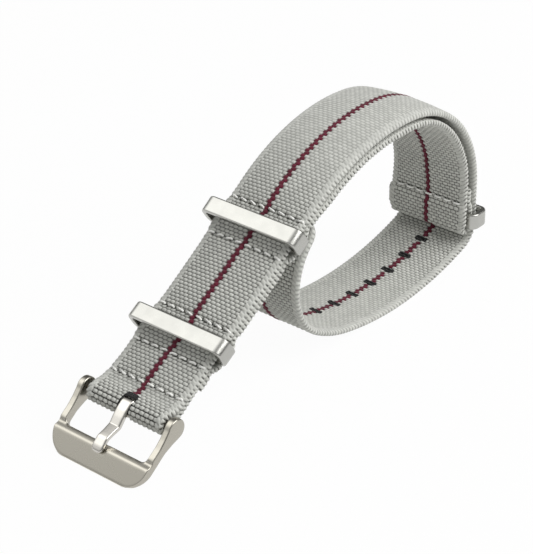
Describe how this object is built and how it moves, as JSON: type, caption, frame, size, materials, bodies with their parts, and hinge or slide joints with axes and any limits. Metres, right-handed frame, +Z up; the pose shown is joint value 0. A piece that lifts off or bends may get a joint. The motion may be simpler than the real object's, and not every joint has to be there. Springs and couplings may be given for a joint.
{
  "type": "watch strap",
  "caption": "Elastic woven pull-through watch strap in a closed loop, with a pin buckle, a sewn retaining strap and loose steel keepers.",
  "frame": {"origin": "on the table, under the middle of the whole strap's length and width", "axes": "+X from the buckle along the loop to the end keeper, +Y across the webbing away from the viewer, +Z up from the table"},
  "size_m": [0.1134, 0.0246, 0.0448],
  "materials": {
    "webbing": "matte",
    "stripe_yarn": "matte",
    "edge_yarn": "matte",
    "sewing_thread": "matte",
    "keeper_steel": "brushed",
    "buckle_steel": "brushed",
    "bar_steel": "satin"
  },
  "bodies": {
    "strap": {"main_strap": "webbing", "main_stripe": "stripe_yarn", "short_strap": "webbing", "short_stripe": "stripe_yarn", "tongue_hole_edges": "edge_yarn", "fold_slot_edge": "edge_yarn", "stitch_row_a": "sewing_thread", "stitch_row_b": "sewing_thread", "stitch_row_c": "sewing_thread", "stitch_row_d": "sewing_thread", "stitch_row_e": "sewing_thread", "stitch_row_f": "sewing_thread"},
    "frame": {"buckle_frame": "buckle_steel", "spring_bar_tube": "bar_steel"},
    "tongue": {"buckle_tongue": "buckle_steel"},
    "pin_near": {"spring_bar_pin_near": "bar_steel"},
    "pin_far": {"spring_bar_pin_far": "bar_steel"},
    "lower_keeper": {"keeper_lower": "keeper_steel"},
    "upper_keeper": {"keeper_upper": "keeper_steel"},
    "end_keeper": {"keeper_end": "keeper_steel"}
  },
  "joints": [
    {"name": "frame_hinge", "type": "hinge", "parent": "strap", "child": "frame", "pos_m": [-0.04532, 0, 0.00855], "axis": [0, 1, 0], "range_deg": [-30, 40]},
    {"name": "tongue_hinge", "type": "hinge", "parent": "frame", "child": "tongue", "pos_m": [-0.04532, 0, 0.00855], "axis": [0, 1, 0], "range_deg": [0, 45]},
    {"name": "pin_near_slide", "type": "slide", "parent": "frame", "child": "pin_near", "axis": [0, 1, 0], "range_m": [0, 0.0011], "stiffness_N_per_m": 500, "springref_m": -0.001},
    {"name": "pin_far_slide", "type": "slide", "parent": "frame", "child": "pin_far", "axis": [0, -1, 0], "range_m": [0, 0.0011], "stiffness_N_per_m": 500, "springref_m": -0.001},
    {"name": "lower_keeper_slide", "type": "slide", "parent": "strap", "child": "lower_keeper", "axis": [0.8632, 0, 0.5049], "range_m": [0, 0.0004]},
    {"name": "upper_keeper_slide", "type": "slide", "parent": "strap", "child": "upper_keeper", "axis": [0.8291, 0, 0.5591], "range_m": [0, 0.0004]},
    {"name": "end_keeper_slide", "type": "slide", "parent": "strap", "child": "end_keeper", "axis": [0, 0, 1], "range_m": [0, 0.0004]}
  ]
}
